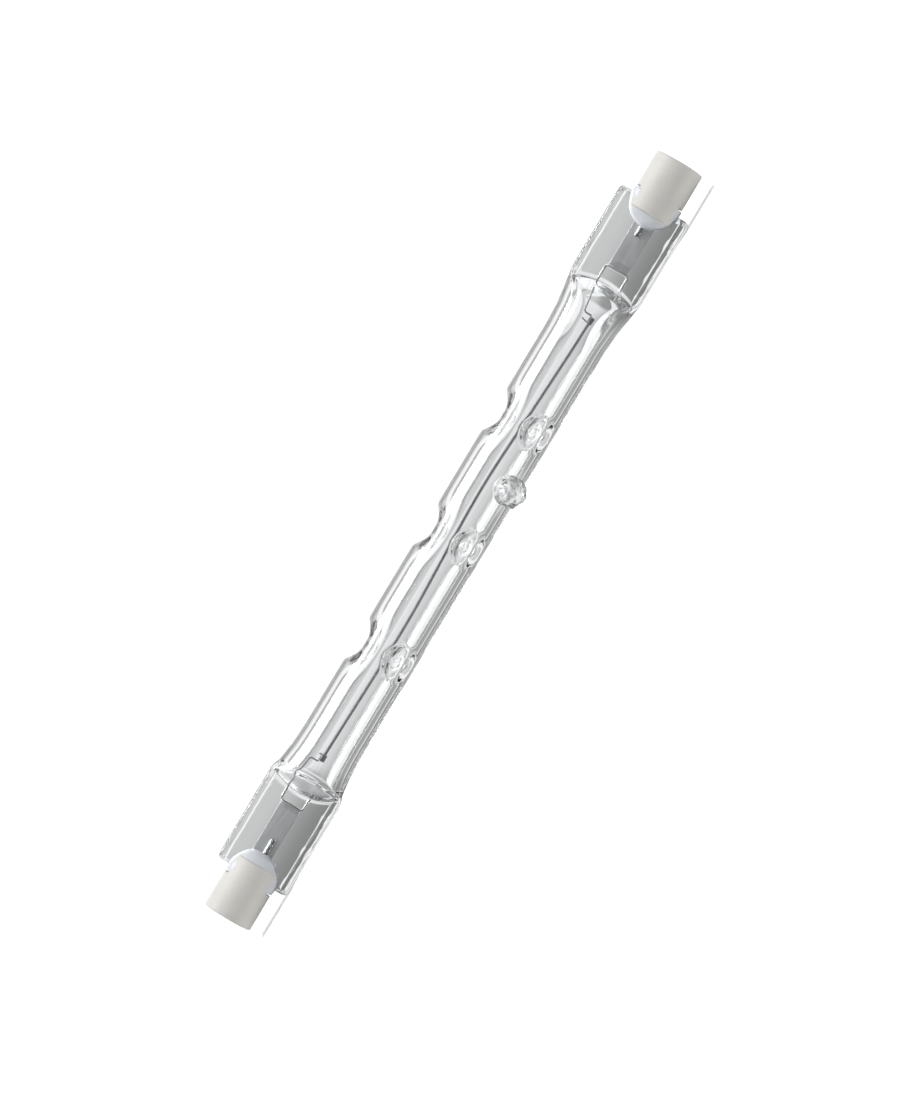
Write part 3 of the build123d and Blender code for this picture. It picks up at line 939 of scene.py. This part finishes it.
def ramp(tree, source, stops):
    """A colour ramp of (place, colour) stops on a source of 0 to 1."""
    made = node(tree, "ShaderNodeValToRGB", {0: source})
    elements = made.color_ramp.elements
    while len(elements) < len(stops):
        elements.new(0.5)
    for element, (place_, colour) in zip(elements, stops):
        element.position = place_
        element.color = (*colour, 1.0)
    return made.outputs[0]


def bump(tree, height, strength, distance_mm):
    """Relief from a height of 0 to 1."""
    inputs = {"Strength": strength, "Distance": distance_mm * MM, "Height": height}
    return node(tree, "ShaderNodeBump", inputs).outputs[0]


def mixed(tree, share, first, second):
    """A mix of two shaders."""
    return node(tree, "ShaderNodeMixShader", {0: share, 1: first, 2: second}).outputs[0]


def quartz_material(name, tint):
    """Clear quartz, faintly wavy, with painted shade on its outline, that lets light through to the
    floor.
    """
    made, tree = new_material(name)
    path = node(tree, "ShaderNodeLightPath").outputs
    # Painted shade: the outline's colour is darkened where the camera meets it at a slant
    rim = node(tree, "ShaderNodeLayerWeight", {"Blend": 0.5}).outputs["Facing"]
    first = maths(tree, "MULTIPLY", rim, path["Is Camera Ray"])
    painted_rim_colour = tuple(PAINTED_RIM_SHADE * c for c in tint)
    shader = node(tree, "ShaderNodeBsdfPrincipled", {
        "Base Color": ramp(tree, first, ((PAINTED_RIM_RANGE[0], tint), (PAINTED_RIM_RANGE[1], painted_rim_colour))),
        "Roughness": 0.0,
        "IOR": 1.458,
        "Transmission Weight": 1.0,
        "Normal": bump(tree, noise(tree, 0.35, 2.0, (0.12, 1.0, 1.0)), 0.12, 0.05),
    })
    clear = node(tree, "ShaderNodeBsdfTransparent", {"Color": (0.97, 0.975, 0.975, 1.0)})
    lit = mixed(tree, path["Is Shadow Ray"], shader.outputs[0], clear.outputs[0])
    node(tree, "ShaderNodeOutputMaterial", {"Surface": lit})
    return made


def metal_material(name, colour, roughness, scale, stretch=EVEN, spread=0.25):
    """Drawn or rolled metal: fine streaks vary its colour, roughness and height."""
    made, tree = new_material(name)
    streaks = noise(tree, scale, 4.0, stretch)
    dark = tuple(c * (1.0 - spread) for c in colour)
    light = tuple(min(c * (1.0 + spread), 1.0) for c in colour)
    shader = node(tree, "ShaderNodeBsdfPrincipled", {
        "Base Color": ramp(tree, streaks, ((0.3, dark), (0.7, light))),
        "Metallic": 1.0,
        "Roughness": mapped(tree, streaks, 0.0, 1.0, roughness * 0.75, roughness * 1.35),
        "Normal": bump(tree, streaks, 0.25, 0.02),
    })
    node(tree, "ShaderNodeOutputMaterial", {"Surface": shader.outputs[0]})
    return made


def ceramic_material(name, colour, roughness, grain, mottle, relief):
    """Unglazed ceramic: a fine grain and a broad mottle in colour, and the grain in relief."""
    made, tree = new_material(name)
    fine = noise(tree, grain, 5.0)
    broad = maths(tree, "MULTIPLY", noise(tree, 0.22, 2.0), 0.45)
    both = maths(tree, "MULTIPLY_ADD", fine, 0.55, broad)
    dark = tuple(c * (1.0 - mottle) for c in colour)
    shader = node(tree, "ShaderNodeBsdfPrincipled", {
        "Base Color": ramp(tree, both, ((0.34, dark), (0.62, colour))),
        "Roughness": mapped(tree, fine, 0.0, 1.0, roughness * 0.85, roughness * 1.15),
        "IOR": 1.5,
        "Normal": bump(tree, fine, relief, 0.03),
    })
    node(tree, "ShaderNodeOutputMaterial", {"Surface": shader.outputs[0]})
    return made


def shared(name, make, *values):
    """The material of that name, made from values the first time it is asked for."""
    return bpy.data.materials.get(name) or make(name, *values)


class LampSizes(bpy.types.PropertyGroup):
    coil_radius: bpy.props.FloatProperty(
        name="Coil radius", description="Outside radius of the filament coil",
        default=0.25 * MM, unit="LENGTH",
    )
    coil_wire: bpy.props.FloatProperty(
        name="Coil wire", description="Radius of the wire the filament is wound from",
        default=0.055 * MM, unit="LENGTH",
    )
    coil_pitch: bpy.props.FloatProperty(
        name="Coil pitch", description="Distance between the filament's turns",
        default=0.17 * MM, unit="LENGTH",
    )
    void_gap: bpy.props.FloatProperty(
        name="Void", description="Gap that the cooling quartz leaves round the sealed wires",
        default=0.05 * MM, unit="LENGTH",
    )
    camera_distance: bpy.props.FloatProperty(
        name="Camera distance", description="From the camera to the lamp's middle",
        default=0.812, unit="LENGTH",
    )


class LampColours(bpy.types.PropertyGroup):
    quartz: bpy.props.FloatVectorProperty(
        name="Quartz", description="Tint of the quartz",
        subtype="COLOR", default=(0.965, 0.975, 0.975), min=0, max=1,
    )
    steatite: bpy.props.FloatVectorProperty(
        name="Steatite", description="Colour of the ceramic caps",
        subtype="COLOR", default=(0.83, 0.81, 0.765), min=0, max=1,
    )
    cement: bpy.props.FloatVectorProperty(
        name="Cement", description="Colour of the cement",
        subtype="COLOR", default=(0.84, 0.87, 0.91), min=0, max=1,
    )
    tungsten: bpy.props.FloatVectorProperty(
        name="Tungsten", description="Colour of the filament",
        subtype="COLOR", default=(0.2, 0.2, 0.21), min=0, max=1,
    )
    molybdenum: bpy.props.FloatVectorProperty(
        name="Molybdenum", description="Colour of leads and foils",
        subtype="COLOR", default=(0.5, 0.51, 0.52), min=0, max=1,
    )
    nickel: bpy.props.FloatVectorProperty(
        name="Nickel", description="Colour of the contacts",
        subtype="COLOR", default=(0.66, 0.64, 0.6), min=0, max=1,
    )


def tungsten(context):
    """The metal of the filament and of its end windings."""
    colour = tuple(context.scene.lamp_colours.tungsten)
    return shared("dull_tungsten_wire", metal_material, colour, 0.38, 6.0)


class LAMP_OT_envelope(bpy.types.Operator):
    """Build the quartz envelope, with its dimples, pinched plates and exhaust stub"""

    bl_idname = "lamp.envelope"
    bl_label = "Quartz envelope"

    def execute(self, context):
        tint = tuple(context.scene.lamp_colours.quartz)
        gap = context.scene.lamp_sizes.void_gap / MM
        tube = closed_mesh("tube", outer_grid(OUTER_COLUMNS))
        outside = joined_solid(tube, closed_mesh("stub", exhaust_stub()), "UNION")
        voids = [inner_grid(INNER_COLUMNS), stub_bubble()]
        for side in SIDES:
            voids += [hook_void(side, gap), parted_void(side), pin_void(side, gap)]
        inside = closed_mesh("inside", *voids)
        inside.flip_normals()
        glass = merged("quartz_envelope_glass", [outside, inside])
        quartz = shared("clear_fused_quartz", quartz_material, tint)
        place("quartz_envelope_glass", glass, quartz, ["quartz_envelope"])
        return {"FINISHED"}


class LAMP_OT_filament(bpy.types.Operator):
    """Wind the filament coil along the tube"""

    bl_idname = "lamp.filament"
    bl_label = "Filament"

    def execute(self, context):
        sizes = context.scene.lamp_sizes
        wire = sizes.coil_wire / MM
        radius = sizes.coil_radius / MM - wire
        start = -FILAMENT_END[-1] + 0.1
        end = FILAMENT_END[1] - 0.1
        grid = coil_grid(start, end, radius, wire, sizes.coil_pitch / MM, 14, 6)
        mesh = closed_mesh("filament_coil_wound", grid)
        place("filament_coil_wound", mesh, tungsten(context), ["filament_coil"])
        return {"FINISHED"}


class LAMP_OT_end_windings(bpy.types.Operator):
    """Wind the heavier wire that clamps each end of the filament, with its loose tail"""

    bl_idname = "lamp.end_windings"
    bl_label = "End windings"

    def execute(self, context):
        wire = tungsten(context)
        place_pair("end_winding", "filament_clamp", wire, "tungsten", winding_grid, tail_grid)
        return {"FINISHED"}


class LAMP_OT_leads(bpy.types.Operator):
    """Bend the inner leads and set the outer lead pins on their foils"""

    bl_idname = "lamp.leads"
    bl_label = "Leads"

    def execute(self, context):
        # Painted shade: the leads' colour is the foils' metal darkened
        colour = tuple(LEAD_PAINTED_SHADE * c for c in context.scene.lamp_colours.molybdenum)
        wire = shared("drawn_molybdenum", metal_material, colour, 0.3, 5.0)
        place_pair("inner_lead_wire", "inner_lead", wire, "molybdenum_wire", lead_grid)
        place_pair("outer_lead_pin", "outer_lead", wire, "molybdenum_wire", pin_grid)
        return {"FINISHED"}


class LAMP_OT_foils(bpy.types.Operator):
    """Lay the etched molybdenum foils in the plates"""

    bl_idname = "lamp.foils"
    bl_label = "Sealing foils"

    def execute(self, context):
        colour = tuple(context.scene.lamp_colours.molybdenum)
        rolled = (0.15, 1.0, 1.0)
        foil = shared("etched_molybdenum_foil", metal_material, colour, 0.5, 1.6, rolled, 0.12)
        place_pair("sealing_foil_sheet", "sealing_foil", foil, "molybdenum_foil", foil_grid)
        return {"FINISHED"}


class LAMP_OT_caps(bpy.types.Operator):
    """Turn the slotted ceramic caps"""

    bl_idname = "lamp.caps"
    bl_label = "Ceramic caps"

    def execute(self, context):
        colour = tuple(context.scene.lamp_colours.steatite)
        clay = shared("unglazed_steatite", ceramic_material, colour, 0.55, 9.0, 0.1, 0.35)
        for side, name in SIDES.items():
            body = closed_mesh("cap", lathe(cap_profile(), 96, side))
            low, high = sorted((side * (CAP_INNER - 1.0), side * SLOT_BOTTOM))
            slot = box_mesh("slot", (low, -5.0, -SLOT_HALF), (high, 5.0, SLOT_HALF))
            mesh = joined_solid(body, slot, "DIFFERENCE")
            solid = [f"ceramic_cap_{name}"]
            cap = place(f"ceramic_cap_body_{name}", mesh, clay, solid, 40)
            edge = cap.modifiers.new("worn_edges", "BEVEL")
            edge.width = WORN_EDGE * MM
            edge.segments = 3
            edge.limit_method = "ANGLE"
            edge.angle_limit = math.radians(50)
        return {"FINISHED"}


class LAMP_OT_cement(bpy.types.Operator):
    """Lay the smooth cement that holds each cap on its plate"""

    bl_idname = "lamp.cement"
    bl_label = "Cap cement"

    def execute(self, context):
        colour = tuple(context.scene.lamp_colours.cement)
        paste = shared("smooth_cement", ceramic_material, colour, 0.38, 3.0, 0.05, 0.12)
        place_pair("cap_cement_dome", "cap_cement", paste, "cement", cement_grid)
        return {"FINISHED"}


class LAMP_OT_contacts(bpy.types.Operator):
    """Set the contact in each cap's recess"""

    bl_idname = "lamp.contacts"
    bl_label = "Contacts"

    def execute(self, context):
        colour = tuple(context.scene.lamp_colours.nickel)
        metal = shared("satin_nickel", metal_material, colour, 0.32, 3.0, EVEN, 0.1)
        place_pair("contact_disc", "contact", metal, "nickel", contact_grid)
        return {"FINISHED"}


# The stage


def studio_world():
    """White for the camera, a soft overhead light for plain surfaces, and a studio for glass.

    Glass and metal see greys level with the lamp, white above them and grey again higher up.
    The studio's front is darker than its back, and its two ends are white.
    """
    made = bpy.data.worlds.new("studio")
    bpy.context.scene.world = made
    made.use_nodes = True
    tree = made.node_tree
    tree.nodes.clear()
    path = node(tree, "ShaderNodeLightPath").outputs
    _, (x, y, z) = coordinates(tree, "Generated")
    height = mapped(tree, z, -1.0, 1.0)

    def banded(bands, front):
        """Light in bands of height, and dimmer towards the front."""
        stops = [(0.5 + 0.5 * math.sin(math.radians(e)), grey(g)) for e, g in bands]
        level, low, high = front
        inputs = {"Color": ramp(tree, height, stops), "Strength": mapped(tree, y, low, high, level)}
        return node(tree, "ShaderNodeBackground", inputs).outputs[0]

    ends = node(tree, "ShaderNodeBackground", {"Color": OFF_WHITE}).outputs[0]
    white = node(tree, "ShaderNodeBackground", {"Color": WHITE}).outputs[0]
    at_end = mapped(tree, maths(tree, "ABSOLUTE", x), *SIDE_RANGE)
    seen = mixed(tree, at_end, banded(STUDIO_BANDS, STUDIO_FRONT), ends)
    others = mixed(tree, path["Is Diffuse Ray"], seen, banded(SOFT_BANDS, SOFT_FRONT))
    whole = mixed(tree, path["Is Camera Ray"], others, white)
    node(tree, "ShaderNodeOutputWorld", {"Surface": whole})


def table_material():
    """A white table. The camera sees it lifted to white, with the lamp's soft shadow kept.

    Glass and metal see painted shading on it instead: a painted shadow and painted bright bands,
    by the distance from the line under the lamp. Those under the tube give way to those under
    the pinched plates, and these to white far to the sides.
    """
    made, tree = new_material("pale_table_painted_shading")
    path = node(tree, "ShaderNodeLightPath").outputs
    shader = node(tree, "ShaderNodeBsdfPrincipled", {
        "Base Color": (TABLE_GREY, TABLE_GREY, TABLE_GREY, 1.0),
        "Roughness": 0.9,
        "Specular IOR Level": 0.0,
    }).outputs[0]
    lift = node(tree, "ShaderNodeEmission", {"Color": WHITE, "Strength": TABLE_LIFT}).outputs[0]
    lifted = node(tree, "ShaderNodeAddShader", {0: shader, 1: lift}).outputs[0]
    plain = mixed(tree, path["Is Camera Ray"], shader, lifted)
    whole, (x, y, _) = coordinates(tree, "Object")
    along = maths(tree, "ABSOLUTE", x)
    across = maths(tree, "ABSOLUTE", y)

    def further(spread, low, high):
        """0 to 1 where the distance along the lamp, less a share of that across, passes."""
        outward = maths(tree, "MULTIPLY_ADD", across, -spread, along)
        return mapped(tree, outward, low * MM, high * MM)

    def painted_shading(stops):
        """Painted shadow and bright bands: greys by the distance from the line under the lamp."""
        share = mapped(tree, across, 0.0, SWEEP_REACH * MM)
        return ramp(tree, share, [(mm / SWEEP_REACH, grey(g)) for mm, g in stops])

    def blend(share, first, second):
        """A mix of two colours."""
        inputs = {0: share, 6: first, 7: second}
        return node(tree, "ShaderNodeMix", inputs, data_type="RGBA").outputs[2]

    # Painted shading that glass and metal see: the tube's greys give way to the plates', then to
    # white
    seen = blend(further(*PLATE_FLOOR), painted_shading(TUBE_PAINTED_SHADING), painted_shading(PLATE_PAINTED_SHADING))
    seen = blend(further(*SIDE_FLOOR), seen, OFF_WHITE)
    # Painted light: under the exhaust stub the table is pale to glass and metal
    painted_light_centre = (TIP_POSITION * MM, STUB_PAINTED_LIGHT_PLACE * MM, cad_bounds[0][2])
    reach = node(tree, "ShaderNodeVectorMath", {0: whole, 1: painted_light_centre}, operation="DISTANCE")
    far, near = STUB_PAINTED_LIGHT_EDGE
    painted_stub_light = mapped(tree, reach.outputs["Value"], far * MM, near * MM)
    seen = blend(painted_stub_light, seen, (*grey(STUB_PAINTED_LIGHT), 1.0))
    # The table gives off the painted shading as light, for glass and metal only
    painted_shading_glow = node(tree, "ShaderNodeEmission", {"Color": seen}).outputs[0]
    either = maths(tree, "MAXIMUM", path["Is Transmission Ray"], path["Is Glossy Ray"])
    node(tree, "ShaderNodeOutputMaterial", {"Surface": mixed(tree, either, plain, painted_shading_glow)})
    return made


class LAMP_OT_stage(bpy.types.Operator):
    """Set the table, the studio light and the camera"""

    bl_idname = "lamp.stage"
    bl_label = "Table, light and camera"

    def execute(self, context):
        scene = context.scene
        scene.view_settings.view_transform = "Standard"
        # Light is reflected inside the stub and the dimples more often than usual
        scene.cycles.glossy_bounces = GLOSSY_BOUNCES
        turn = ring_angles(96)
        ring = TABLE_RADIUS * np.stack([np.cos(turn), np.sin(turn), 0.0 * turn], 1)
        ring[:, 2] = cad_bounds[0][2]
        mesh = bpy.data.meshes.new("table")
        mesh.from_pydata(ring.tolist(), [], [list(range(len(ring)))])
        table = bpy.data.objects.new("table", mesh)
        mesh.materials.append(table_material())
        scene.collection.objects.link(table)
        studio_world()
        above = bpy.data.lights.new("overhead_softbox", "SUN")
        above.energy = SUN_LEVEL
        above.angle = math.radians(SUN_ANGLE)
        lamp = bpy.data.objects.new("overhead_softbox", above)
        lamp.rotation_euler = (math.radians(SUN_LEAN), 0.0, 0.0)
        scene.collection.objects.link(lamp)
        camera_data = bpy.data.cameras.new("camera")
        camera_data.lens = 200.0
        camera_data.sensor_width = 36.0
        camera_data.clip_start = 0.01
        camera_data.clip_end = 50.0
        camera = bpy.data.objects.new("camera", camera_data)
        distance = scene.lamp_sizes.camera_distance / MM
        lean = math.radians(PICTURE_LEAN)
        right = np.array([math.cos(lean), -math.sin(lean), 0.0])
        up = np.array([math.sin(lean), math.cos(lean), 0.0])
        back = np.array([0.0, 0.0, 1.0])
        target = PICTURE_OFFSET[0] * right + PICTURE_OFFSET[1] * up
        axes = [Vector(world(a)[0]).normalized() for a in (right, up, back)]
        turned = Matrix(axes).transposed().to_4x4()
        turned.translation = Vector(world(target + distance * back)[0])
        camera.matrix_world = turned
        scene.collection.objects.link(camera)
        scene.camera = camera
        return {"FINISHED"}


STEPS = (
    LAMP_OT_envelope, LAMP_OT_filament, LAMP_OT_end_windings, LAMP_OT_leads, LAMP_OT_foils,
    LAMP_OT_caps, LAMP_OT_cement, LAMP_OT_contacts, LAMP_OT_stage,
)


class LAMP_PT_panel(bpy.types.Panel):
    """Lists the lamp's sizes, colours and steps"""

    bl_label = "Linear halogen lamp"
    bl_idname = "LAMP_PT_panel"
    bl_space_type = "VIEW_3D"
    bl_region_type = "UI"
    bl_category = "Lamp"

    def draw(self, context):
        for group in (context.scene.lamp_sizes, context.scene.lamp_colours):
            for key in group.__annotations__:
                self.layout.prop(group, key)
        for step in STEPS:
            self.layout.operator(step.bl_idname)


CLASSES = (LampSizes, LampColours, *STEPS, LAMP_PT_panel)


def register():
    for item in CLASSES:
        bpy.utils.register_class(item)
    bpy.types.Scene.lamp_sizes = bpy.props.PointerProperty(type=LampSizes)
    bpy.types.Scene.lamp_colours = bpy.props.PointerProperty(type=LampColours)


def unregister():
    del bpy.types.Scene.lamp_colours
    del bpy.types.Scene.lamp_sizes
    for item in reversed(CLASSES):
        bpy.utils.unregister_class(item)


def main():
    register()
    for step in STEPS:
        getattr(bpy.ops.lamp, step.bl_idname.split(".")[1])()


if __name__ == "__main__":
    main()
